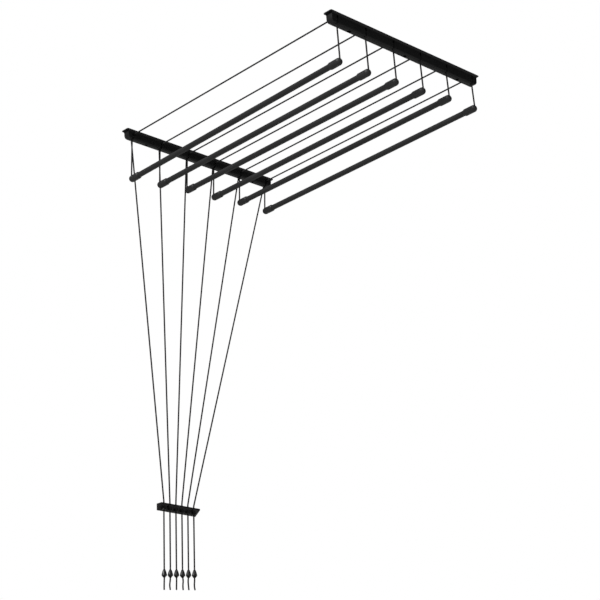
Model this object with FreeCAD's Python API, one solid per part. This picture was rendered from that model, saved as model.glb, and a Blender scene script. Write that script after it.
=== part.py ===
import FreeCAD, Part
import math
import os

from FreeCAD import Vector

# Ceiling mounted pulley rack. Millimetres, +Z up.
# Origin: centre of the pull rail's ceiling face. +X runs along the rods to the far rail, +Y along the rails.
# One cord lifts each rod: it is knotted in the pull rail, drops to the rod's near cap, runs through the
# tube, rises from the far cap to the far rail's pulley, comes back along the ceiling to the pull rail's
# pulley, and falls through the wall bracket to a bell-shaped pull.

# ---- driving dimensions ----
STATIONS = 6
PITCH = 95.0                  # between neighbouring rods, along Y
RAIL_SPACING = 790.0          # between the centre planes of the two ceiling rails
CORD_D = 4.0

RAIL_LENGTH = 523.0
FLANGE_HALF = 14.0
FLANGE_T = 2.2
FLANGE_CORNER_R = 4.0
FLANGE_EDGE_R = 0.9
FLARE_TOP_HALF = 13.0         # the body's flare meets the flange this far from the centre plane
FLARE_BULGE = (11.05, -4.1)   # a point midway along the flare
FLARE_LOW_Z = -6.5
PULL_RAIL_H = 25.5
FAR_RAIL_H = 29.0
RAIL_FLOOR_T = 2.2
BODY_LENGTH = 510.0
BODY_HALF_TOP = 10.2
BODY_HALF_LOW = 9.5
BODY_CORNER_R = 6.0
END_CORNER_R = 12.0
PLATE_HALF = 8.0
PLATE_T = 2.0
PLATE_LENGTH = 480.0
CAVITY_HALF = 8.0
CAVITY_CORNER_R = 5.0
CAVITY_END_WALL = 10.0

SCREW_PITCH = 2 * PITCH       # ceiling screws sit midway between stations 1-2, 3-4 and 5-6
SCREW_HOLE_R = 2.25
SCREW_POCKET_R = 4.75
SCREW_BOSS_HALF = 7.0
SCREW_BOSS_FOOT_HALF = 4.0    # the boss narrows where the cavity's corners are round
SCREW_BOSS_FOOT_H = 4.5
SCREW_FLOOR_T = 2.0

GROOVE_R = 6.0                # radius of the cord's centreline on a pulley
PULLEY_R = 7.6
PULLEY_W = 5.5
PULLEY_BORE_R = 1.55
PULLEY_RIM_T = 0.45
PULLEY_HOLES = 4
PULLEY_HOLE_R = 0.5
PULLEY_HOLE_RING_R = 2.6
CORD_GAP = 0.3                # between the cord and the pulley's groove
AXLE_R = 1.5
CEILING_CORD_Z = -9.0
AXLE_Z = CEILING_CORD_Z - GROOVE_R
PULLEY_Y_OFFSET = 3.0         # pull rail pulleys stand beside the knotted cord
KNOT_Y_OFFSET = -2.8
POST_GAP = 0.4
POST_T = 2.4
POST_HALF = 3.1
POST_TOP_Z = -11.0

SLOT_W = 4.8
SLOT_TOP_Z = -5.5
CEILING_SLOT_LOW_Z = -13.0
FAR_SLOT_X = 3.6              # slots begin this far from the rail's centre plane
KNOT_SLOT_X = 2.4
KNOT_SLOT_W = 5.8
KNOT_SLOT_Y = 0.5             # from the knot towards its station, as the cord slants
KNOT_SLOT_FLOOR_X = 1.0       # wider through the floor, where a raised rod slants its cord
KNOT_SLOT_FLOOR_Z = -19.0
PULL_SLOT_X = 3.5
PULL_SLOT_W = 6.4

LEDGE_TOP_Z = -8.0
LEDGE_T = 2.0
LEDGE_X = 2.0
LEDGE_Y = (-5.0, 1.8)
LEDGE_HOLE_FIT = 0.3
KNOT_R = 2.4
KNOT_X = 5.5

ROD_R = 7.4
ROD_WALL = 1.0
CAP_R = 9.4
CAP_MOUTH_R = 7.95
CAP_MOUTH_T = 0.5             # the mouth's flat edge, before its taper
CAP_TAPER = 3.6
CAP_LENGTH = 40.0
CAP_DOME = 8.0
CAP_DOME_MIDDLE = (1.9, 5.9)  # depth and radius midway round the dome
CAP_SLEEVE = 20.0
CAP_FIT = 0.05
CAP_TIP = 4.4                 # from the cord hole's centre to the cap's tip
CAP_BORE_R = 2.3
CORD_BEND_R = 6.0
NEAR_SPREAD = 7.0             # the cap holes stand this far outside the hanging planes
FAR_SPREAD = 5.5
# Rod axes below the ceiling cords at the two cap holes. A user leaves the rods stepped and a little tilted.
NEAR_DROPS = (131.0, 121.5, 110.0, 104.5, 94.5, 94.0)
FAR_DROPS = (121.0, 117.5, 110.5, 103.0, 92.5, 89.5)

BRACKET_X = -108.0            # cord holes; the wall is BRACKET_BACK behind them
BRACKET_BACK = 11.0
BRACKET_FRONT = 9.0
BRACKET_TOP_Z = -974.5
BRACKET_FRONT_H = 4.0
BRACKET_BACK_H = 18.0
BRACKET_LENGTH = 130.0
BRACKET_PITCH = 20.0
BRACKET_EDGE_R = 1.2
GUIDE_R = 3.5
GUIDE_FIT = 0.05
GUIDE_BORE_R = 2.3
GUIDE_FLANGE_R = 5.0
GUIDE_FLANGE_T = 1.2
BOSS_R = 5.6                  # at its foot; each cord leaves the bracket through a tapered boss
BOSS_TOP_R = 3.9
BOSS_LOW_Z = BRACKET_TOP_Z - 17.5
BOSS_BORE_R = 2.6
WALL_SCREW_SPACING = 80.0
WALL_SCREW_Z = BRACKET_TOP_Z - 7.5
WALL_SCREW_R = 1.9
WALL_SCREW_HEAD_R = 3.4
WALL_SCREW_HEAD_DEPTH = 9.0
STRAND_BEND_R = 30.0

BELL_TOP_Z = -1148.0          # the first bell; each next one hangs BELL_STEP higher
BELL_STEP = 2.0
BELL_H = 17.0
BELL_R = 7.1
BELL_NECK_R = 2.9
BELL_SHOULDER = (5.2, 6.4)    # radius and depth of a point on the bell's curved flank
BELL_WIDEST = 14.2            # depth of the widest ring
BELL_RIM_R = 5.9
BELL_RIM_TURN = (6.6, 15.7)   # radius and depth midway round the rim's outer turn
BELL_BORE_R = 2.15
BELL_RECESS_H = 5.0
BELL_RECESS_R = 5.4
BELL_RECESS_MIDDLE = (4.8, 2.4)
BELL_ROOF_R = 3.5
BELL_KNOT_R = 3.9
BELL_KNOT_BELOW = 3.2         # the knot shows this far below the rim
TAIL_LENGTH = 36.0
TAIL_ARC_SHARE = 0.45
TAIL_BOW = 0.8                # each tail bows this far along X
TAIL_SWAYS = (                # Y offsets of a tail at a third, two thirds and all of its length
    (0.5, -1.4, -0.6),
    (-1.4, -2.4, -0.9),
    (0.9, -1.0, -0.4),
    (1.7, 1.0, 1.5),
    (-1.2, -1.5, 0.4),
    (-0.6, -0.9, 0.7),
)
HANG_START = 2.0              # the hanging cord begins this far below the far pulley's tangent
STRAND_TOP_Z = -21.5          # the pull strand begins to slant here
GUIDE_TOP_Z = -968.3          # and hangs straight from here down

HANG_X = GROOVE_R
FAR_HANG_X = RAIL_SPACING + GROOVE_R
NEAR_HOLE_X = HANG_X - NEAR_SPREAD
FAR_HOLE_X = FAR_HANG_X + FAR_SPREAD
GUIDE_LOW_Z = BRACKET_TOP_Z - 5.0
CORD_JOINT_Z = GUIDE_LOW_Z + 1.0      # the fixed pull strand ends here and the moving cord begins

X_AXIS, Y_AXIS, Z_AXIS = Vector(1, 0, 0), Vector(0, 1, 0), Vector(0, 0, 1)
OVERCUT = 1.0                 # cutting tools run this far past the faces that they open
WALL_BITE = 0.3               # ribs and posts sink this far into the wall that they stand on


# ---- helpers ----
def station_y(i, pitch=PITCH):
    return (i - (STATIONS - 1) / 2) * pitch


def box(x0, x1, y0, y1, z0, z1):
    return Part.makeBox(x1 - x0, y1 - y0, z1 - z0, Vector(x0, y0, z0))


def cylinder(radius, start, direction, length):
    return Part.makeCylinder(radius, length, start, direction)


def line(a, b):
    return Part.LineSegment(a, b).toShape()


def arc(a, middle, b):
    return Part.Arc(a, middle, b).toShape()


def prism(edges, along):
    return Part.Face(Part.Wire(edges)).extrude(along)


def route(points, radii):
    """A wire of straight runs joined by tangent arcs. radii[k] rounds points[k + 1]."""
    edges, here = [], points[0]
    for before, corner, after, radius in zip(points, points[1:], points[2:], radii):
        a = (corner - before).normalize()
        b = (after - corner).normalize()
        half_turn = a.getAngle(b) / 2
        reach = radius * math.tan(half_turn)
        start, end = corner - a * reach, corner + b * reach
        inward = (b - a).normalize()
        centre = corner + inward * (radius / math.cos(half_turn))
        if (start - here).Length > 1e-6:
            edges.append(line(here, start))
        edges.append(arc(start, centre - inward * radius, end))
        here = end
    edges.append(line(here, points[-1]))
    return Part.Wire(edges)


def tube(wire, radius):
    """A round solid along a wire, checked against section times length."""
    first = wire.OrderedEdges[0]
    start = first.valueAt(first.FirstParameter)
    direction = first.tangentAt(first.FirstParameter)
    profile = Part.Wire([Part.Circle(start, direction, radius).toShape()])
    solid = wire.makePipeShell([profile], True, False)
    expected = math.pi * radius * radius * wire.Length
    if abs(solid.Volume - expected) > 0.01 * expected:
        raise ValueError(f"tube volume {solid.Volume:.1f} is not {expected:.1f}")
    return solid


def save(name, shapes):
    solids = [s for shape in shapes for s in shape.Solids]
    for s in solids:
        if not s.isValid() or s.Volume <= 0:
            raise ValueError(f"{name} has a bad solid")
    shape = solids[0] if len(solids) == 1 else Part.makeCompound(solids)
    shape.exportStep(os.path.join("parts", name + ".step"))


# ---- ceiling rails ----
def rail_section_body(x, height):
    """The rail's tulip section swept along Y: a flared top, straight flanks, round lower corners."""
    half = BODY_LENGTH / 2
    corner = BODY_HALF_LOW - BODY_CORNER_R
    flank_z = -height + BODY_CORNER_R
    bend = 0.5 ** 0.5 * BODY_CORNER_R

    def point(px, pz):
        return Vector(x + px, -half, pz)

    def side(sign):
        return [
            line(point(sign * FLARE_TOP_HALF, 0), point(sign * FLARE_TOP_HALF, -FLANGE_T)),
            arc(point(sign * FLARE_TOP_HALF, -FLANGE_T),
                point(sign * FLARE_BULGE[0], FLARE_BULGE[1]),
                point(sign * BODY_HALF_TOP, FLARE_LOW_Z)),
            line(point(sign * BODY_HALF_TOP, FLARE_LOW_Z), point(sign * BODY_HALF_LOW, flank_z)),
            arc(point(sign * BODY_HALF_LOW, flank_z),
                point(sign * (corner + bend), flank_z - bend),
                point(sign * corner, -height)),
        ]

    edges = [line(point(-FLARE_TOP_HALF, 0), point(FLARE_TOP_HALF, 0))] + side(1)
    edges += [line(point(corner, -height), point(-corner, -height))] + side(-1)
    return prism(Part.__sortEdges__(edges), Y_AXIS * BODY_LENGTH)


def rail_end_mask(x, height):
    """The rail's side outline, seen along X: both lower ends turn up in a large radius."""
    half, r = BODY_LENGTH / 2, END_CORNER_R
    bend = 0.5 ** 0.5 * r
    x0 = x - FLANGE_HALF

    def point(py, pz):
        return Vector(x0, py, pz)

    low = -height
    edges = [
        line(point(-half, 0), point(half, 0)),
        line(point(half, 0), point(half, low + r)),
        arc(point(half, low + r), point(half - r + bend, low + r - bend), point(half - r, low)),
        line(point(half - r, low), point(-half + r, low)),
        arc(point(-half + r, low), point(-half + r - bend, low + r - bend), point(-half, low + r)),
        line(point(-half, low + r), point(-half, 0)),
    ]
    return prism(edges, X_AXIS * (2 * FLANGE_HALF))


def rail_flange(x):
    plate = box(x - FLANGE_HALF, x + FLANGE_HALF, -RAIL_LENGTH / 2, RAIL_LENGTH / 2, -FLANGE_T, 0)
    upright = [e for e in plate.Edges if abs(e.tangentAt(0).z) > 0.9]
    plate = plate.makeFillet(FLANGE_CORNER_R, upright)
    rim = [e for e in plate.Edges if e.BoundBox.ZMax < -FLANGE_T + 0.01]
    return plate.makeFillet(FLANGE_EDGE_R, rim)


def rail_cavity(x, floor_z):
    half = BODY_LENGTH / 2 - CAVITY_END_WALL
    hollow = box(x - CAVITY_HALF, x + CAVITY_HALF, -half, half, floor_z, -PLATE_T)
    low = [e for e in hollow.Edges
           if abs(e.tangentAt(0).y) > 0.9 and e.BoundBox.ZMax < floor_z + 0.01]
    return hollow.makeFillet(CAVITY_CORNER_R, low)


def screw_ys():
    return [k * SCREW_PITCH for k in (-1, 0, 1)]


def axle_posts(x, y, floor_z):
    """Two posts on the rail's floor that hold one pulley's axle."""
    posts = []
    for side in (-1, 1):
        near = side * (PULLEY_W / 2 + POST_GAP)
        y0, y1 = sorted((y + near, y + near + side * POST_T))
        posts.append(box(x - POST_HALF, x + POST_HALF, y0, y1, floor_z - WALL_BITE, POST_TOP_Z))
    return posts


def slot(x0, x1, y, width, low_z, top_z=SLOT_TOP_Z):
    return box(x0, x1, y - width / 2, y + width / 2, low_z, top_z)


def screw_boss(x, y, floor_z):
    """A solid block across the cavity, narrower at its foot."""
    wide, y0, y1 = CAVITY_HALF + WALL_BITE, y - SCREW_BOSS_HALF, y + SCREW_BOSS_HALF
    foot = SCREW_BOSS_FOOT_HALF
    return [box(x - wide, x + wide, y0, y1, floor_z + SCREW_BOSS_FOOT_H, -PLATE_T),
            box(x - foot, x + foot, y0, y1, floor_z - WALL_BITE, -PLATE_T)]


def knot_ledge(x, y):
    return box(x + LEDGE_X, x + CAVITY_HALF + WALL_BITE, y + LEDGE_Y[0], y + LEDGE_Y[1],
               LEDGE_TOP_Z - LEDGE_T, LEDGE_TOP_Z)


def rail_housing(x, height, pulley_ys, ledge_ys, cuts):
    """The moulded rail, open at the top for its back plate."""
    floor_z = RAIL_FLOOR_T - height
    body = rail_section_body(x, height).common(rail_end_mask(x, height))
    shell = body.fuse(rail_flange(x)).cut(rail_cavity(x, floor_z))
    recess = box(x - PLATE_HALF, x + PLATE_HALF, -PLATE_LENGTH / 2, PLATE_LENGTH / 2, -PLATE_T, OVERCUT)
    additions = [block for y in screw_ys() for block in screw_boss(x, y, floor_z)]
    additions += [post for y in pulley_ys for post in axle_posts(x, y, floor_z)]
    additions += [knot_ledge(x, y) for y in ledge_ys]
    shell = shell.cut(recess).multiFuse(additions)
    tools = list(cuts)
    for y in screw_ys():
        mouth = Vector(x, y, -height - OVERCUT)
        pocket_h = height + OVERCUT - PLATE_T - SCREW_FLOOR_T
        tools.append(cylinder(SCREW_POCKET_R, mouth, Z_AXIS, pocket_h))
        tools.append(cylinder(SCREW_HOLE_R, mouth, Z_AXIS, height + 2 * OVERCUT))
    for y in pulley_ys:
        reach = axle_reach() + OVERCUT
        tools.append(cylinder(AXLE_R, Vector(x, y - reach, AXLE_Z), Y_AXIS, 2 * reach))
    for y in ledge_ys:
        under = Vector(x + KNOT_X, y, LEDGE_TOP_Z - LEDGE_T - OVERCUT)
        tools.append(cylinder(CORD_D / 2 + LEDGE_HOLE_FIT, under, Z_AXIS, LEDGE_T + 2 * OVERCUT))
    return shell.cut(Part.makeCompound(tools)).removeSplitter()


def back_plate(x):
    plate = box(x - PLATE_HALF, x + PLATE_HALF, -PLATE_LENGTH / 2, PLATE_LENGTH / 2, -PLATE_T, 0)
    upright = [e for e in plate.Edges if abs(e.tangentAt(0).z) > 0.9]
    plate = plate.makeFillet(PLATE_T, upright)
    holes = [cylinder(SCREW_HOLE_R, Vector(x, y, -PLATE_T - OVERCUT), Z_AXIS, PLATE_T + 2 * OVERCUT)
             for y in screw_ys()]
    return plate.cut(Part.makeCompound(holes))


def pulley(x, y):
    """A grooved wheel, turned about Y."""
    half, rim = PULLEY_W / 2, PULLEY_RIM_T
    lip = CORD_D / 2 + CORD_GAP
    floor = GROOVE_R - lip

    def point(r, py):
        return Vector(x + r, y + py, AXLE_Z)

    edges = [
        line(point(PULLEY_BORE_R, -half), point(PULLEY_R, -half)),
        line(point(PULLEY_R, -half), point(PULLEY_R, -half + rim)),
        line(point(PULLEY_R, -half + rim), point(GROOVE_R, -lip)),
        arc(point(GROOVE_R, -lip), point(floor, 0), point(GROOVE_R, lip)),
        line(point(GROOVE_R, lip), point(PULLEY_R, half - rim)),
        line(point(PULLEY_R, half - rim), point(PULLEY_R, half)),
        line(point(PULLEY_R, half), point(PULLEY_BORE_R, half)),
        line(point(PULLEY_BORE_R, half), point(PULLEY_BORE_R, -half)),
    ]
    wheel = Part.Face(Part.Wire(edges)).revolve(Vector(x, y, AXLE_Z), Y_AXIS, 360)
    holes = []
    for k in range(PULLEY_HOLES):
        angle = 2 * math.pi * (k + 0.5) / PULLEY_HOLES
        out = Vector(math.cos(angle), 0, math.sin(angle)) * PULLEY_HOLE_RING_R
        holes.append(cylinder(PULLEY_HOLE_R, Vector(x, y - half - OVERCUT, AXLE_Z) + out, Y_AXIS,
                              PULLEY_W + 2 * OVERCUT))
    return wheel.cut(Part.makeCompound(holes))


def axle_reach():
    return PULLEY_W / 2 + POST_GAP + POST_T


def axle(x, y):
    return cylinder(AXLE_R, Vector(x, y - axle_reach(), AXLE_Z), Y_AXIS, 2 * axle_reach())


# ---- rods ----
def rod_corners(i):
    """The cord's two corners on the rod's axis, at the near and the far cap hole."""
    y = station_y(i)
    return (Vector(NEAR_HOLE_X, y, CEILING_CORD_Z - NEAR_DROPS[i]),
            Vector(FAR_HOLE_X, y, CEILING_CORD_Z - FAR_DROPS[i]))


def rod_axis(i):
    near, far = rod_corners(i)
    return (far - near).normalize()


def rod_tube(i):
    near, far = rod_corners(i)
    inset = CAP_LENGTH - CAP_TIP - CAP_SLEEVE
    axis = rod_axis(i)
    length = (far - near).Length - 2 * inset
    at = near + axis * inset
    outer = cylinder(ROD_R, at, axis, length)
    return outer.cut(cylinder(ROD_R - ROD_WALL, at - axis * OVERCUT, axis, length + 2 * OVERCUT))


def rod_cap(hole, inward, channel):
    """A sleeve with a domed, drilled nose. inward points from this cap along the rod."""
    tip = hole - inward * CAP_TIP
    out = inward.cross(Y_AXIS)

    def point(u, r):
        return tip + inward * u + out * r

    bore = ROD_R + CAP_FIT
    taper_end = CAP_LENGTH - CAP_MOUTH_T
    taper_start = taper_end - CAP_TAPER
    edges = [
        arc(point(0, 0), point(*CAP_DOME_MIDDLE), point(CAP_DOME, CAP_R)),
        line(point(CAP_DOME, CAP_R), point(taper_start, CAP_R)),
        line(point(taper_start, CAP_R), point(taper_end, CAP_MOUTH_R)),
        line(point(taper_end, CAP_MOUTH_R), point(CAP_LENGTH, CAP_MOUTH_R)),
        line(point(CAP_LENGTH, CAP_MOUTH_R), point(CAP_LENGTH, bore)),
        line(point(CAP_LENGTH, bore), point(CAP_LENGTH - CAP_SLEEVE, bore)),
        line(point(CAP_LENGTH - CAP_SLEEVE, bore), point(CAP_LENGTH - CAP_SLEEVE, 0)),
        line(point(CAP_LENGTH - CAP_SLEEVE, 0), point(0, 0)),
    ]
    nose = Part.Face(Part.Wire(edges)).revolve(tip, inward, 360)
    return nose.cut(channel)


def far_tangent(i):
    """Where the hanging run leaves the far pulley, and its direction down to the far cap."""
    centre = Vector(RAIL_SPACING, station_y(i), AXLE_Z)
    corner = rod_corners(i)[1]
    reach = corner - centre
    angle = math.atan2(reach.z, reach.x) + math.acos(GROOVE_R / reach.Length)
    at = centre + Vector(math.cos(angle), 0, math.sin(angle)) * GROOVE_R
    return at, (corner - at).normalize()


def knot_point(i):
    return Vector(KNOT_X, station_y(i) + KNOT_Y_OFFSET, LEDGE_TOP_Z)


def rod_cord(i):
    """The cord from its knot down into the near cap, through the rod, and up to the far pulley."""
    near, far = rod_corners(i)
    tangent, down = far_tangent(i)
    wire = route([knot_point(i), near, far, tangent + down * HANG_START], [CORD_BEND_R, CORD_BEND_R])
    return tube(wire, CORD_D / 2), wire.Length


def cap_channels(i):
    """The drilled bends that take the cord into the two caps."""
    near, far = rod_corners(i)
    tangent, down = far_tangent(i)
    up = (knot_point(i) - near).normalize()
    lead = rod_axis(i) * 2 * CAP_LENGTH
    near_wire = route([near + up * 2 * CAP_R, near, near + lead], [CORD_BEND_R])
    far_wire = route([far - lead, far, far - down * 2 * CAP_R], [CORD_BEND_R])
    return tube(near_wire, CAP_BORE_R), tube(far_wire, CAP_BORE_R)


def anchor_knot(i):
    """The stopper knot that rests on the pull rail's ledge."""
    return Part.makeSphere(KNOT_R, knot_point(i) + Z_AXIS * KNOT_R)


# ---- ceiling cord, from the far pulley to the wall bracket ----
def ceiling_cord(i):
    y, guide_y = station_y(i), station_y(i, BRACKET_PITCH)
    tangent, down = far_tangent(i)
    rise = (CEILING_CORD_Z - tangent.z) / down.z
    pull_y = y + PULLEY_Y_OFFSET
    points = [
        tangent + down * HANG_START,
        tangent + down * rise,
        Vector(-GROOVE_R, pull_y, CEILING_CORD_Z),
        Vector(-GROOVE_R, pull_y, STRAND_TOP_Z),
        Vector(BRACKET_X, guide_y, GUIDE_TOP_Z),
        Vector(BRACKET_X, guide_y, CORD_JOINT_Z),
    ]
    wire = route(points, [GROOVE_R, GROOVE_R, STRAND_BEND_R, STRAND_BEND_R])
    return tube(wire, CORD_D / 2), wire.Length


# ---- wall bracket ----
def bracket_body():
    x0, x1 = BRACKET_X - BRACKET_BACK, BRACKET_X + BRACKET_FRONT
    top, half = BRACKET_TOP_Z, BRACKET_LENGTH / 2
    corners = [Vector(x0, -half, top), Vector(x1, -half, top),
               Vector(x1, -half, top - BRACKET_FRONT_H), Vector(x0, -half, top - BRACKET_BACK_H)]
    edges = [line(a, b) for a, b in zip(corners, corners[1:] + corners[:1])]
    bar = prism(edges, Y_AXIS * BRACKET_LENGTH)
    touches_front = [e for e in bar.Edges if e.BoundBox.XMax > x1 - 0.01]
    bar = bar.makeFillet(BRACKET_EDGE_R, touches_front)
    bosses, tools = [], []
    for i in range(STATIONS):
        foot = Vector(BRACKET_X, station_y(i, BRACKET_PITCH), BOSS_LOW_Z)
        boss_h = top - BRACKET_FRONT_H / 2 - BOSS_LOW_Z
        bosses.append(Part.makeCone(BOSS_R, BOSS_TOP_R, boss_h, foot, Z_AXIS))
        tools.append(cylinder(BOSS_BORE_R, foot - Z_AXIS * OVERCUT, Z_AXIS, top - BOSS_LOW_Z + 2 * OVERCUT))
        seat = foot + Z_AXIS * (GUIDE_LOW_Z - BOSS_LOW_Z)
        tools.append(cylinder(GUIDE_R + GUIDE_FIT, seat, Z_AXIS, top + OVERCUT - GUIDE_LOW_Z))
    for side in (-1, 1):
        y = side * WALL_SCREW_SPACING / 2
        back = Vector(x0 - OVERCUT, y, WALL_SCREW_Z)
        tools.append(cylinder(WALL_SCREW_R, back, X_AXIS, x1 - x0 + 2 * OVERCUT))
        head = Vector(x1 - WALL_SCREW_HEAD_DEPTH, y, WALL_SCREW_Z)
        tools.append(cylinder(WALL_SCREW_HEAD_R, head, X_AXIS, WALL_SCREW_HEAD_DEPTH + OVERCUT))
    return bar.multiFuse(bosses).cut(Part.makeCompound(tools)).removeSplitter()


def cord_guide(i):
    """A flanged bush pressed into the bracket from above."""
    at = Vector(BRACKET_X, station_y(i, BRACKET_PITCH), GUIDE_LOW_Z)
    height = BRACKET_TOP_Z - GUIDE_LOW_Z
    bush = cylinder(GUIDE_R, at, Z_AXIS, height)
    flange = cylinder(GUIDE_FLANGE_R, at + Z_AXIS * height, Z_AXIS, GUIDE_FLANGE_T)
    bore = cylinder(GUIDE_BORE_R, at - Z_AXIS * OVERCUT, Z_AXIS, height + GUIDE_FLANGE_T + 2 * OVERCUT)
    return bush.fuse(flange).cut(bore)


# ---- pulls ----
def bell_top(i):
    return Vector(BRACKET_X, station_y(i, BRACKET_PITCH), BELL_TOP_Z + BELL_STEP * i)


def bell(i):
    top = bell_top(i)

    def point(r, depth):
        return top + Vector(r, 0, -depth)

    roof = BELL_H - BELL_RECESS_H
    edges = [
        line(point(BELL_BORE_R, 0), point(BELL_NECK_R, 0)),
        arc(point(BELL_NECK_R, 0), point(*BELL_SHOULDER), point(BELL_R, BELL_WIDEST)),
        arc(point(BELL_R, BELL_WIDEST), point(*BELL_RIM_TURN), point(BELL_RIM_R, BELL_H)),
        line(point(BELL_RIM_R, BELL_H), point(BELL_RECESS_R, BELL_H)),
        arc(point(BELL_RECESS_R, BELL_H),
            point(BELL_RECESS_MIDDLE[0], roof + BELL_RECESS_MIDDLE[1]), point(BELL_ROOF_R, roof)),
        line(point(BELL_ROOF_R, roof), point(BELL_BORE_R, roof)),
        line(point(BELL_BORE_R, roof), point(BELL_BORE_R, 0)),
    ]
    return Part.Face(Part.Wire(edges)).revolve(top, Z_AXIS, 360)


def pull_cord(i):
    """From the bracket down through the bell and its stopper knot, and the short loose tail below."""
    top = bell_top(i)
    rim = top - Z_AXIS * BELL_H
    bow = TAIL_BOW if i % 2 else -TAIL_BOW
    points = [Vector(top.x, top.y, CORD_JOINT_Z), rim]
    for k, (sway, side) in enumerate(zip(TAIL_SWAYS[i], (bow, -bow, 0))):
        points.append(rim + Vector(side, sway, -TAIL_LENGTH * (k + 1) / len(TAIL_SWAYS[i])))
    radii = []
    for before, corner, after in zip(points, points[1:], points[2:]):
        half_turn = (corner - before).getAngle(after - corner) / 2
        shorter = min((corner - before).Length, (after - corner).Length)
        radii.append(TAIL_ARC_SHARE * shorter / math.tan(half_turn))
    wire = route(points, radii)
    knot = Part.makeSphere(BELL_KNOT_R, rim - Z_AXIS * (BELL_KNOT_BELOW - BELL_KNOT_R))
    return tube(wire, CORD_D / 2).fuse(knot), wire.Length, radii


# ---- build ----
def main():
    os.makedirs("parts", exist_ok=True)
    stations = range(STATIONS)
    ys = [station_y(i) for i in stations]
    pull_ys = [y + PULLEY_Y_OFFSET for y in ys]
    knot_ys = [y + KNOT_Y_OFFSET for y in ys]
    outer = FLANGE_HALF + OVERCUT
    inner = CAVITY_HALF - OVERCUT
    below = -FAR_RAIL_H - OVERCUT
    under_ledge = LEDGE_TOP_Z - LEDGE_T

    pull_cuts = []
    for knot_y, pull_y in zip(knot_ys, pull_ys):
        slot_y = knot_y + KNOT_SLOT_Y
        pull_cuts.append(slot(KNOT_SLOT_X, outer, slot_y, KNOT_SLOT_W, below, under_ledge))
        pull_cuts.append(slot(KNOT_SLOT_FLOOR_X, outer, slot_y, KNOT_SLOT_W, below, KNOT_SLOT_FLOOR_Z))
        pull_cuts.append(slot(inner, outer, pull_y, SLOT_W, CEILING_SLOT_LOW_Z))
        pull_cuts.append(slot(-outer, -PULL_SLOT_X, pull_y, PULL_SLOT_W, below))
    save("pull_rail_housing", [rail_housing(0, PULL_RAIL_H, pull_ys, knot_ys, pull_cuts)])
    far_cuts = []
    for y in ys:
        far_cuts.append(slot(RAIL_SPACING + FAR_SLOT_X, RAIL_SPACING + outer, y, SLOT_W, below))
        far_cuts.append(slot(RAIL_SPACING - outer, RAIL_SPACING - inner, y, SLOT_W, CEILING_SLOT_LOW_Z))
    save("far_rail_housing", [rail_housing(RAIL_SPACING, FAR_RAIL_H, ys, [], far_cuts)])

    save("pull_rail_back_plate", [back_plate(0)])
    save("far_rail_back_plate", [back_plate(RAIL_SPACING)])
    save("pull_rail_axles", [axle(0, y) for y in pull_ys])
    save("far_rail_axles", [axle(RAIL_SPACING, y) for y in ys])
    save("cord_anchor_knots", [anchor_knot(i) for i in stations])
    save("wall_bracket_body", [bracket_body()])
    save("wall_bracket_cord_guides", [cord_guide(i) for i in stations])

    for i in stations:
        n = i + 1
        save(f"pull_pulley_{n}", [pulley(0, pull_ys[i])])
        save(f"far_pulley_{n}", [pulley(RAIL_SPACING, ys[i])])
        near_channel, far_channel = cap_channels(i)
        save(f"rod_{n}_tube", [rod_tube(i)])
        near, far = rod_corners(i)
        save(f"rod_{n}_end_caps", [rod_cap(near, rod_axis(i), near_channel),
                                   rod_cap(far, -rod_axis(i), far_channel)])
        hanging, hanging_length = rod_cord(i)
        save(f"rod_{n}_cord", [hanging])
        running, running_length = ceiling_cord(i)
        save(f"ceiling_cord_{n}", [running])
        save(f"bell_{n}", [bell(i)])
        end, end_length, radii = pull_cord(i)
        save(f"pull_cord_{n}", [end])
        whole = hanging_length + running_length + end_length
        print(f"cord {n}: rod run {hanging_length:.0f}, ceiling run {running_length:.0f}, "
              f"pull {end_length:.0f}, whole {whole:.0f} mm, tail radii",
              " ".join(f"{r:.0f}" for r in radii))


main()
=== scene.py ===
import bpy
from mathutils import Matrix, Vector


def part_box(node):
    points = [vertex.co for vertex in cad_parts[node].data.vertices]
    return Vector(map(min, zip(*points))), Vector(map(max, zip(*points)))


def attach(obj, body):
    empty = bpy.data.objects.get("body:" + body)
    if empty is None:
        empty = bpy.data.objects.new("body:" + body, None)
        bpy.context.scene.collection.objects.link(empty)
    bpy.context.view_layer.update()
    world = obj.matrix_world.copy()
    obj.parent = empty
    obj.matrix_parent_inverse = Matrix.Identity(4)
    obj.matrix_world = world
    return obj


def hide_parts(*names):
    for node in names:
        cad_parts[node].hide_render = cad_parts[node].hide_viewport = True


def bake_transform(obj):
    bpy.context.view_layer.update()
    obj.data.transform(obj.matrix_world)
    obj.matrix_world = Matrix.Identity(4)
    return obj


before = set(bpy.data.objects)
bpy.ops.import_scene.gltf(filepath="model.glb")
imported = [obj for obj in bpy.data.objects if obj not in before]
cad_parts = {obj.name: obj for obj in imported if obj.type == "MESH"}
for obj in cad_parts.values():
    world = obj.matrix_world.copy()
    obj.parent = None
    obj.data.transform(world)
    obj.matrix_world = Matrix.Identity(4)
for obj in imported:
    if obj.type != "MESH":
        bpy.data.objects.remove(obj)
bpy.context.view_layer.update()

import math

import bmesh
import bpy
from mathutils import Matrix, Vector

# A ceiling clothes airer: six rods on cords, two pulley rails, a wall bracket and six bell pulls.
# Metres, in the frame of the CAD model: +Z up, +X along the rods, +Y along the rails.

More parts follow.
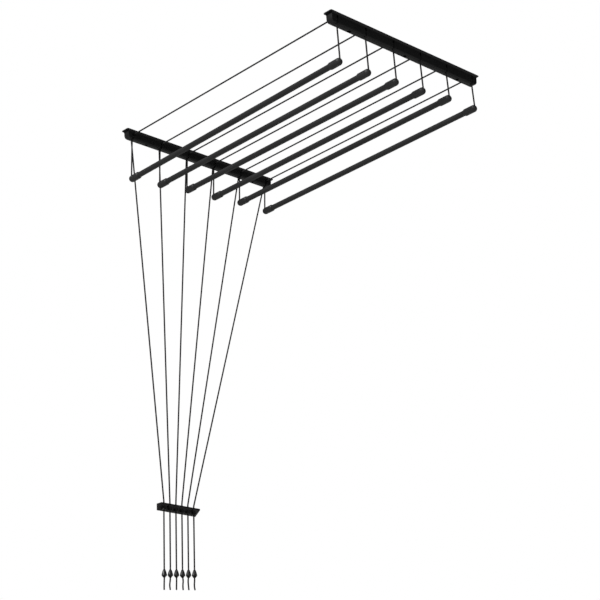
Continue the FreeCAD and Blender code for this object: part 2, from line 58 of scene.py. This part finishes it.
# ---- sizes that the cords' routes are worked out from ----
STATIONS = range(6)
PITCH = 0.095                 # between neighbouring stations
CORD_R = 0.002
GROOVE_R = 0.006              # the cord's centreline on a pulley
CEILING_CORD_Z = -0.009
KNOT_SEAT_Z = -0.008
KNOT_X = 0.0055
PULL_PULLEY_Y = 0.003         # pull rail pulleys stand this far beside their stations
KNOT_Y = -0.0028
NEAR_SPREAD = 0.007           # the caps' holes stand this far outside the hanging planes
FAR_SPREAD = 0.0055
NEAR_DROPS = (0.131, 0.1215, 0.110, 0.1045, 0.0945, 0.094)  # rods below the ceiling cords, near ends
FAR_DROPS = (0.121, 0.1175, 0.1105, 0.103, 0.0925, 0.0895)  # and far ends
RAIL_SPACING = 0.790
HANG_START = 0.002
STRAND_TOP_Z = -0.0215
BRACKET_X = -0.108
BRACKET_PITCH = 0.020
BRACKET_TOP_Z = -0.9745
GUIDE_TOP_Z = BRACKET_TOP_Z + 0.0062
CORD_JOINT_Z = BRACKET_TOP_Z - 0.004
TAIL_LENGTH = 0.036
TAIL_BOW = 0.0008
TAIL_SWAYS = (
    (0.0005, -0.0014, -0.0006),
    (-0.0014, -0.0024, -0.0009),
    (0.0009, -0.0010, -0.0004),
    (0.0017, 0.0010, 0.0015),
    (-0.0012, -0.0015, 0.0004),
    (-0.0006, -0.0009, 0.0007),
)

AXLE_Z = CEILING_CORD_Z - GROOVE_R
CORD_CORNER = 2 * GROOVE_R    # a point this far either side of a corner makes the bend as tight as the pulley
STRAND_EASE = 0.005


# ---- camera ----
CAMERA_AT = Vector((3.26583, -2.72145, -2.06368))
CAMERA_FORWARD = Vector((-0.67912, 0.64111, 0.35746))
CAMERA_ROLL = math.radians(-2.135)
CAMERA_LENS = 101.39
CAMERA_SENSOR = 36.0


def make_camera():
    data = bpy.data.cameras.new("camera")
    data.lens = CAMERA_LENS
    data.sensor_width = CAMERA_SENSOR
    data.clip_start = 0.1
    data.clip_end = 100.0
    camera = bpy.data.objects.new("camera", data)
    bpy.context.scene.collection.objects.link(camera)
    aim = CAMERA_FORWARD.to_track_quat("-Z", "Y").to_matrix().to_4x4()
    camera.matrix_world = Matrix.Translation(CAMERA_AT) @ aim @ Matrix.Rotation(CAMERA_ROLL, 4, "Z")
    bpy.context.scene.camera = camera


make_camera()


# ---- mesh helpers ----
def link_mesh(name, mesh):
    made = bpy.data.objects.new(name, mesh)
    bpy.context.scene.collection.objects.link(made)
    return made


def smooth_path(points, steps=12):
    """Points along the order-3 NURBS spline that has these control points."""
    curve = bpy.data.curves.new("route", "CURVE")
    curve.dimensions = "3D"
    spline = curve.splines.new("NURBS")
    spline.points.add(len(points) - 1)
    for place, point in zip(spline.points, points):
        place.co = (*point, 1.0)
    spline.order_u = 3
    spline.use_endpoint_u = True
    spline.resolution_u = steps
    holder = bpy.data.objects.new("route", curve)
    bpy.context.scene.collection.objects.link(holder)
    line = bpy.data.meshes.new_from_object(holder)
    path = [v.co.copy() for v in line.vertices]
    bpy.data.objects.remove(holder)
    bpy.data.curves.remove(curve)
    bpy.data.meshes.remove(line)
    return path


def frames_along(path):
    """A pair of cross directions at each point, carried along without twisting."""
    tangents = []
    for k in range(len(path)):
        ahead = path[min(k + 1, len(path) - 1)]
        behind = path[max(k - 1, 0)]
        tangents.append((ahead - behind).normalized())
    across = tangents[0].orthogonal().normalized()
    pairs = []
    for k, tangent in enumerate(tangents):
        if k:
            across = (tangents[k - 1].rotation_difference(tangent) @ across).normalized()
            across = (across - tangent * across.dot(tangent)).normalized()
        pairs.append((across, tangent.cross(across)))
    return tangents, pairs


DOME_STEP = 20                # degrees between the rings of a rounded end
DOME_RINGS = 4
DOME_SPACING = 0.3            # of the radius, between those rings on the UV map


def tube(name, path, radius, sides=16, round_end=False, closed=False):
    """A round tube along a path. Its UV map holds turns round the tube and metres along it."""
    tangents, pairs = frames_along(path)
    rings, along, run = [], [], 0.0
    for k, centre in enumerate(path):
        if k:
            run += (centre - path[k - 1]).length
        rings.append((centre, pairs[k], radius))
        along.append(run)
    if round_end:
        for ring in range(1, DOME_RINGS + 1):
            slope = math.radians(DOME_STEP * ring)
            out, width = math.sin(slope), math.cos(slope)
            rings.append((path[-1] + tangents[-1] * radius * out, pairs[-1], radius * width))
            along.append(along[-1] + radius * DOME_SPACING)
    build = bmesh.new()
    turns = build.loops.layers.uv.new("braid")
    loops = []
    for centre, (across, up), r in rings:
        corners = []
        for s in range(sides):
            angle = 2 * math.pi * s / sides
            corners.append(build.verts.new(centre + (across * math.cos(angle) + up * math.sin(angle)) * r))
        loops.append(corners)
    spans = len(loops) if closed else len(loops) - 1
    for k in range(spans):
        low, high = loops[k], loops[(k + 1) % len(loops)]
        v_low = along[k]
        v_high = along[k + 1] if k + 1 < len(loops) else v_low + (rings[0][0] - rings[-1][0]).length
        for s in range(sides):
            t = (s + 1) % sides
            face = build.faces.new((low[s], low[t], high[t], high[s]))
            face.smooth = True
            places = ((s, v_low), (s + 1, v_low), (s + 1, v_high), (s, v_high))
            for corner, (side, v) in zip(face.loops, places):
                corner[turns].uv = (side / sides, v)
    if not closed:
        build.faces.new(reversed(loops[0]))
        build.faces.new(loops[-1])
    mesh = bpy.data.meshes.new(name)
    build.to_mesh(mesh)
    build.free()
    return link_mesh(name, mesh)


# ---- cords ----
def station_y(i, pitch=PITCH):
    return (i - (len(STATIONS) - 1) / 2) * pitch


def bell_box(i):
    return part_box(f"bell_{i + 1}")


def eased_corner(before, corner, after, reach=CORD_CORNER):
    """A corner with a point on each side of it, so that the spline bends only there."""
    return [corner + (before - corner).normalized() * reach, corner,
            corner + (after - corner).normalized() * reach]


def rod_corners(i):
    near_x = GROOVE_R - NEAR_SPREAD
    far_x = RAIL_SPACING + GROOVE_R + FAR_SPREAD
    y = station_y(i)
    near = Vector((near_x, y, CEILING_CORD_Z - NEAR_DROPS[i]))
    far = Vector((far_x, y, CEILING_CORD_Z - FAR_DROPS[i]))
    return near, far


def far_tangent(i):
    """Where the hanging run leaves the far pulley, and its direction down to the far cap."""
    centre = Vector((RAIL_SPACING, station_y(i), AXLE_Z))
    corner = rod_corners(i)[1]
    reach = corner - centre
    angle = math.atan2(reach.z, reach.x) + math.acos(GROOVE_R / reach.length)
    at = centre + Vector((math.cos(angle), 0, math.sin(angle))) * GROOVE_R
    return at, (corner - at).normalized()


def make_rod_cord(i):
    """From its knot in the pull rail, through the rod, to the far pulley."""
    n = i + 1
    near, far = rod_corners(i)
    tangent, down = far_tangent(i)
    knot = Vector((KNOT_X, station_y(i) + KNOT_Y, KNOT_SEAT_Z))
    end = tangent + down * HANG_START
    points = [knot, *eased_corner(knot, near, far), *eased_corner(near, far, end), end]
    cord = tube(f"hoist_cord_{n}", smooth_path(points), CORD_R)
    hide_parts(f"rod_{n}_cord")
    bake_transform(cord)
    return cord


def make_ceiling_cord(i):
    """From the far pulley along the ceiling, over the pull rail's pulley and down to the wall bracket."""
    n = i + 1
    pull_y = station_y(i) + PULL_PULLEY_Y
    guide_y = station_y(i, BRACKET_PITCH)
    tangent, down = far_tangent(i)
    start = tangent + down * HANG_START
    far_top = tangent + down * ((CEILING_CORD_Z - tangent.z) / down.z)
    pull_top = Vector((-GROOVE_R, pull_y, CEILING_CORD_Z))
    strand_top = Vector((-GROOVE_R, pull_y, STRAND_TOP_Z))
    guide = Vector((BRACKET_X, guide_y, GUIDE_TOP_Z))
    end = Vector((BRACKET_X, guide_y, CORD_JOINT_Z))
    over = eased_corner(far_top, pull_top, strand_top)
    points = [start, far_top, far_top + (pull_top - far_top).normalized() * CORD_CORNER]
    points += over[:2]
    points += eased_corner(pull_top, strand_top, guide, STRAND_EASE)
    points += eased_corner(strand_top, guide, end, STRAND_EASE)
    points.append(end)
    cord = tube(f"ceiling_run_{n}", smooth_path(points), CORD_R)
    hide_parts(f"ceiling_cord_{n}")
    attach(cord, "root")
    return cord


def make_pull_cord(i):
    """From the bracket down through the bell, with a loose tail below it."""
    n = i + 1
    low, high = bell_box(i)
    x, y = BRACKET_X, station_y(i, BRACKET_PITCH)
    rim = Vector((x, y, low.z))
    bow = TAIL_BOW if i % 2 else -TAIL_BOW
    points = [Vector((x, y, CORD_JOINT_Z)), Vector((x, y, high.z)), rim]
    for k, (sway, side) in enumerate(zip(TAIL_SWAYS[i], (bow, -bow, 0))):
        points.append(rim + Vector((side, sway, -TAIL_LENGTH * (k + 1) / len(TAIL_SWAYS[i]))))
    points[-1] += Vector((0, 0, CORD_R))
    path = smooth_path(points)
    cord = tube(f"pull_line_{n}", path, CORD_R, round_end=True)
    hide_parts(f"pull_cord_{n}")
    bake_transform(cord)
    length = sum((b - a).length for a, b in zip(path, path[1:]))
    return cord, path, length


cords = [make_rod_cord(i) for i in STATIONS] + [make_ceiling_cord(i) for i in STATIONS]
pull_cords = [make_pull_cord(i) for i in STATIONS]
cords += [cord for cord, path, length in pull_cords]


# ---- knots ----
KNOT_STEPS = 96
KNOT_SIDES = 12
STOPPER_RISE = 0.0002         # its middle, above the bell's rim
STOPPER_STRAND_R = 0.0017
ANCHOR_RISE = 0.0022          # its middle, above its seat
ANCHOR_STRAND_R = 0.0009


def torus_knot(centre, wide, thick, tall):
    """The centreline of a closed knot wound round a vertical cord."""
    path = []
    for k in range(KNOT_STEPS):
        t = 2 * math.pi * k / KNOT_STEPS
        out = wide + thick * math.cos(3 * t)
        path.append(centre + Vector((out * math.cos(2 * t), out * math.sin(2 * t), tall * math.sin(3 * t))))
    return path


def make_stopper_knot(i):
    low, high = bell_box(i)
    centre = Vector((BRACKET_X, station_y(i, BRACKET_PITCH), low.z + STOPPER_RISE))
    path = torus_knot(centre, wide=0.0022, thick=0.0009, tall=0.0020)
    knot = tube(f"stopper_knot_{i + 1}", path, STOPPER_STRAND_R, KNOT_SIDES, closed=True)
    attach(knot, f"bell_{i + 1}")
    return knot


def make_anchor_knot(i):
    centre = Vector((KNOT_X, station_y(i) + KNOT_Y, KNOT_SEAT_Z + ANCHOR_RISE))
    path = torus_knot(centre, wide=0.0012, thick=0.0006, tall=0.0012)
    knot = tube(f"anchor_knot_{i + 1}", path, ANCHOR_STRAND_R, KNOT_SIDES, closed=True)
    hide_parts("cord_anchor_knots")
    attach(knot, "root")
    return knot


stopper_knots = [make_stopper_knot(i) for i in STATIONS]
anchor_knots = [make_anchor_knot(i) for i in STATIONS]


# ---- materials ----
def node(tree, kind, settings=None, **inputs):
    """A shader node. Each input is a number, a colour or another node's socket."""
    made = tree.nodes.new("ShaderNode" + kind)
    for key, value in (settings or {}).items():
        setattr(made, key, value)
    for key, value in inputs.items():
        socket = made.inputs[key.replace("_", " ")]
        if isinstance(value, bpy.types.NodeSocket):
            tree.links.new(value, socket)
        else:
            socket.default_value = value
    return made


def maths(tree, operation, a, b=0.0):
    made = tree.nodes.new("ShaderNodeMath")
    made.operation = operation
    for socket, value in zip(made.inputs, (a, b)):
        if isinstance(value, bpy.types.NodeSocket):
            tree.links.new(value, socket)
        else:
            socket.default_value = value
    return made.outputs[0]


def spread(tree, value, low, high):
    """Maps a noise's middle range onto low..high."""
    return node(tree, "MapRange", None, Value=value, From_Min=0.3, From_Max=0.7,
                To_Min=low, To_Max=high).outputs[0]


def grey(value):
    return (value, value, value * 1.02, 1.0)


def noise(tree, coordinates, scale, detail=3.0):
    return node(tree, "TexNoise", None, Vector=coordinates, Scale=scale, Detail=detail).outputs["Fac"]


def start_material(name, metallic=0.0, specular=0.5):
    material = bpy.data.materials.new(name)
    material.use_nodes = True
    tree = material.node_tree
    shader = tree.nodes["Principled BSDF"]
    shader.inputs["Metallic"].default_value = metallic
    shader.inputs["Specular IOR Level"].default_value = specular
    coordinates = tree.nodes.new("ShaderNodeTexCoord").outputs["Object"]
    return material, tree, shader, coordinates


def mix_colour(tree, shader, factor, dark, light):
    mix = tree.nodes.new("ShaderNodeMix")
    mix.data_type = "RGBA"
    tree.links.new(factor, mix.inputs[0])
    mix.inputs[6].default_value = grey(dark)
    mix.inputs[7].default_value = grey(light)
    tree.links.new(mix.outputs[2], shader.inputs["Base Color"])


def link_bump(tree, shader, height, strength, distance):
    bump = node(tree, "Bump", None, Strength=strength, Distance=distance, Height=height)
    tree.links.new(bump.outputs["Normal"], shader.inputs["Normal"])


def moulded_plastic(name, dark, light, rough_low, rough_high, grain=1400.0):
    """Moulded plastic: slow colour drift, handling marks in the gloss, and a fine spark-eroded grain."""
    material, tree, shader, at = start_material(name, specular=0.3)
    drift = noise(tree, at, 22.0, 4.0)
    marks = noise(tree, at, 95.0, 6.0)
    mix_colour(tree, shader, spread(tree, drift, 0.0, 1.0), dark, light)
    tree.links.new(spread(tree, marks, rough_low, rough_high), shader.inputs["Roughness"])
    fine = noise(tree, at, grain, 2.0)
    waves = maths(tree, "MULTIPLY", noise(tree, at, 60.0, 1.0), 1.5)
    link_bump(tree, shader, maths(tree, "ADD", fine, waves), strength=0.25, distance=0.00004)
    return material


def powder_coat(name, dark, light):
    """Satin powder coat on a steel tube: orange peel, with the gloss a little uneven along it."""
    material, tree, shader, at = start_material(name, specular=0.25)
    stretched = node(tree, "Mapping", None, Vector=at, Scale=(0.25, 1.0, 1.0)).outputs[0]
    mix_colour(tree, shader, spread(tree, noise(tree, stretched, 40.0, 4.0), 0.0, 1.0), dark, light)
    tree.links.new(spread(tree, noise(tree, stretched, 130.0, 5.0), 0.42, 0.58), shader.inputs["Roughness"])
    peel = maths(tree, "ADD", noise(tree, at, 520.0, 2.0), noise(tree, at, 1900.0, 1.0))
    link_bump(tree, shader, peel, strength=0.2, distance=0.00004)
    return material


def painted_sheet(name, dark, light):
    material, tree, shader, at = start_material(name)
    mix_colour(tree, shader, spread(tree, noise(tree, at, 35.0, 5.0), 0.0, 1.0), dark, light)
    tree.links.new(spread(tree, noise(tree, at, 210.0, 4.0), 0.38, 0.55), shader.inputs["Roughness"])
    link_bump(tree, shader, noise(tree, at, 700.0, 2.0), strength=0.25, distance=0.00005)
    return material


def turned_steel(name):
    """A turned pin: fine rings round its axis, which lies along Y."""
    material, tree, shader, at = start_material(name, metallic=1.0)
    rings = node(tree, "Mapping", None, Vector=at, Scale=(0.02, 1.0, 0.02)).outputs[0]
    lines = noise(tree, rings, 5200.0, 3.0)
    mix_colour(tree, shader, spread(tree, lines, 0.0, 1.0), 0.42, 0.58)
    tree.links.new(spread(tree, noise(tree, at, 300.0, 4.0), 0.22, 0.36), shader.inputs["Roughness"])
    link_bump(tree, shader, lines, strength=0.2, distance=0.00003)
    return material


def braided_cord(name, dark, light):
    """A sixteen-strand braid drawn on the cord's own UV map: turns round it, metres along it. Its colour is
    darker in the grooves between the strands, which is painted shade.
    """
    strands, lay = 8.0, 0.0014
    material, tree, shader, at = start_material(name, specular=0.3)
    place = node(tree, "UVMap", {"uv_map": "braid"}).outputs["UV"]
    split = node(tree, "SeparateXYZ", None, Vector=place)
    turn = maths(tree, "MULTIPLY", split.outputs["X"], strands)
    travel = maths(tree, "DIVIDE", split.outputs["Y"], lay)
    right = maths(tree, "ADD", turn, travel)
    left = maths(tree, "SUBTRACT", turn, travel)

    def ridge(phase, times=1.0):
        return maths(tree, "ABSOLUTE", maths(tree, "SINE", maths(tree, "MULTIPLY", phase, math.pi * times)))

    pillow = maths(tree, "SQRT", maths(tree, "MULTIPLY", ridge(right), ridge(left)))
    cells = maths(tree, "ADD", maths(tree, "FLOOR", right), maths(tree, "FLOOR", left))
    over = maths(tree, "PINGPONG", cells, 1.0)
    threads = node(tree, "Mix", None, Factor=over, A=ridge(right, 4.0), B=ridge(left, 4.0)).outputs[0]
    height = maths(tree, "ADD", pillow, maths(tree, "MULTIPLY", threads, 0.18))
    worn = spread(tree, noise(tree, at, 14.0, 4.0), 0.75, 1.0)
    # The colour follows the strands' relief: darker in the grooves between strands as painted shade, lighter
    # on their crowns, scaled by a random lengthwise tone.
    mix_colour(tree, shader, maths(tree, "MULTIPLY", pillow, worn), dark, light)
    shader.inputs["Sheen Weight"].default_value = 0.05
    shader.inputs["Sheen Roughness"].default_value = 0.4
    tree.links.new(spread(tree, noise(tree, at, 400.0, 3.0), 0.62, 0.8), shader.inputs["Roughness"])
    link_bump(tree, shader, height, strength=0.6, distance=0.00025)
    return material


def dress(objects, material):
    for o in objects:
        o.data.materials.clear()
        o.data.materials.append(material)


def nodes_named(*names):
    return [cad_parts[name] for name in names]


def numbered(pattern):
    return nodes_named(*(pattern.format(i + 1) for i in STATIONS))


dress(nodes_named("pull_rail_housing", "far_rail_housing"),
      moulded_plastic("rail_plastic", dark=0.006, light=0.009, rough_low=0.42, rough_high=0.55))
dress(nodes_named("pull_rail_back_plate", "far_rail_back_plate"),
      painted_sheet("plate_paint", dark=0.014, light=0.022))
dress(nodes_named("pull_rail_axles", "far_rail_axles"), turned_steel("axle_steel"))
dress(nodes_named("wall_bracket_body"),
      moulded_plastic("bracket_plastic", dark=0.007, light=0.011, rough_low=0.42, rough_high=0.56))
dress(nodes_named("wall_bracket_cord_guides"),
      moulded_plastic("guide_plastic", dark=0.020, light=0.028, rough_low=0.25, rough_high=0.38,
                      grain=2200.0))
dress(numbered("pull_pulley_{}") + numbered("far_pulley_{}"),
      moulded_plastic("pulley_plastic", dark=0.035, light=0.048, rough_low=0.28, rough_high=0.42,
                      grain=2200.0))
dress(numbered("rod_{}_tube"), powder_coat("rod_paint", dark=0.020, light=0.025))
dress(numbered("rod_{}_end_caps"),
      moulded_plastic("cap_plastic", dark=0.021, light=0.027, rough_low=0.42, rough_high=0.55))
dress(numbered("bell_{}"),
      moulded_plastic("bell_plastic", dark=0.016, light=0.023, rough_low=0.30, rough_high=0.44))
dress(cords + stopper_knots + anchor_knots, braided_cord("cord_braid", dark=0.004, light=0.014))


# ---- surroundings ----
FLOOR_Z = -2.45
FLOOR_REACH = 14.0            # from its middle to each edge
MIDDLE_X = 0.4                # of the rack


def make_floor():
    build = bmesh.new()
    bmesh.ops.create_grid(build, x_segments=1, y_segments=1, size=FLOOR_REACH)
    mesh = bpy.data.meshes.new("floor")
    build.to_mesh(mesh)
    build.free()
    floor = link_mesh("floor", mesh)
    floor.location = (MIDDLE_X, 0.0, FLOOR_Z)
    material = bpy.data.materials.new("floor_paint")
    material.use_nodes = True
    shader = material.node_tree.nodes["Principled BSDF"]
    shader.inputs["Base Color"].default_value = (0.66, 0.66, 0.65, 1.0)
    shader.inputs["Roughness"].default_value = 0.8
    mesh.materials.append(material)


def place_light(data, at, aim):
    light = bpy.data.objects.new(data.name, data)
    bpy.context.scene.collection.objects.link(light)
    look = (Vector(aim) - Vector(at)).to_track_quat("-Z", "Y").to_matrix().to_4x4()
    light.matrix_world = Matrix.Translation(Vector(at)) @ look


def make_key_light():
    """A wide sun, so that the floor is evenly lit however far it goes."""
    data = bpy.data.lights.new("key", "SUN")
    data.angle = 0.45
    data.energy = 3.6
    place_light(data, at=(0.5, -3.3, 2.2), aim=(MIDDLE_X, 0.0, -0.2))


def make_fill_light():
    data = bpy.data.lights.new("fill", "AREA")
    data.shape = "DISK"
    data.size = 2.0
    data.energy = 12.0
    place_light(data, at=(3.8, -1.0, 0.6), aim=(MIDDLE_X, 0.0, -0.3))


def make_world():
    """White to look at, and dim as a light, so that black plastic stays black."""
    world = bpy.data.worlds.new("studio")
    world.use_nodes = True
    bpy.context.scene.world = world
    tree = world.node_tree
    tree.nodes.clear()
    seen = node(tree, "Background", None, Color=(1.0, 1.0, 1.0, 1.0), Strength=1.0)
    lit = node(tree, "Background", None, Color=(1.0, 1.0, 1.0, 1.0), Strength=0.05)
    path = tree.nodes.new("ShaderNodeLightPath")
    mix = tree.nodes.new("ShaderNodeMixShader")
    tree.links.new(path.outputs["Is Camera Ray"], mix.inputs[0])
    tree.links.new(lit.outputs[0], mix.inputs[1])
    tree.links.new(seen.outputs[0], mix.inputs[2])
    output = tree.nodes.new("ShaderNodeOutputWorld")
    tree.links.new(mix.outputs[0], output.inputs["Surface"])


make_floor()
make_world()
make_key_light()
make_fill_light()
bpy.context.scene.view_settings.view_transform = "Standard"
